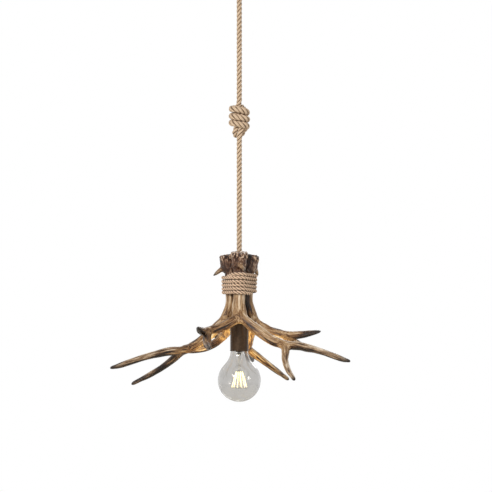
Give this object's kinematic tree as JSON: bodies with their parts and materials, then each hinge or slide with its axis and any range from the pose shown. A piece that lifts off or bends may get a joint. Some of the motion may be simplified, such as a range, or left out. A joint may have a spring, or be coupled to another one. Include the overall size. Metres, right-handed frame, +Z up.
{
  "type": "antler pendant light",
  "caption": "Hanging light: a knotted rope carries forked antlers lashed round a hub, with a lampholder and a clear globe bulb below.",
  "frame": {"origin": "on the ceiling, at the middle of the two ceiling screws and on the rope's axis", "axes": "+Z up into the ceiling, -Y towards the viewer of the picture, +X to that viewer's right"},
  "size_m": [0.5239, 0.5082, 0.9342],
  "materials": {
    "zinc_steel": "zinc plated",
    "dark_bronze": "dark bronze enamel",
    "ivory_plastic": "moulded",
    "brass": "turned",
    "flex_sheath": "smooth sheath",
    "rope": "three-strand natural fibre, hairy",
    "lashing_rope": "three-strand natural fibre",
    "antler_resin": "cast resin, stained, ridged",
    "black_bakelite": "moulded",
    "nickel": "nickel plated",
    "black_glass": "vitrite",
    "solder": "solder",
    "clear_glass": "clear blown glass",
    "stem_glass": "pressed glass",
    "filament": "phosphor-coated light filament"
  },
  "bodies": {
    "ceiling_fitting": {"ceiling_bracket": "zinc_steel", "canopy": "dark_bronze", "canopy_screws": "dark_bronze", "terminal_block": "ivory_plastic", "terminal_screws": "brass", "cord_grip": "dark_bronze", "grip_nut": "zinc_steel", "grip_screw": "zinc_steel", "flex_top": "flex_sheath", "rope_stub": "rope"},
    "rope_top": {"rope_bend": "rope"},
    "pendant": {"rope_upper": "rope", "rope_knot": "rope", "rope_lower": "rope", "rope_lashing": "lashing_rope", "antler_front": "antler_resin", "antler_left": "antler_resin", "antler_right": "antler_resin", "antler_screws": "zinc_steel", "hub_tube": "brass", "hub_nut": "zinc_steel", "holder_nut": "zinc_steel", "flex_lower": "flex_sheath", "lampholder_cup": "dark_bronze", "lampholder_insert": "black_bakelite", "holder_terminals": "brass", "thread_shell": "brass", "centre_contact": "brass"},
    "bulb": {"bulb_cap": "nickel", "bulb_cap_insulator": "black_glass", "bulb_contact": "solder", "bulb_glass": "clear_glass", "bulb_stem": "stem_glass", "bulb_filaments": "filament", "bulb_supports": "nickel"}
  },
  "joints": [
    {"name": "swing_to_and_fro", "type": "hinge", "parent": "ceiling_fitting", "child": "rope_top", "pos_m": [0, 0, -0.042], "axis": [1, 0, 0], "range_deg": [-20, 20]},
    {"name": "swing_sideways", "type": "hinge", "parent": "rope_top", "child": "pendant", "pos_m": [0, 0, -0.066], "axis": [0, 1, 0], "range_deg": [-20, 20]},
    {"name": "bulb_turn", "type": "hinge", "parent": "pendant", "child": "bulb", "pos_m": [0, 0, -0.82], "axis": [0, 0, 1], "range_deg": [-180, 0]}
  ]
}
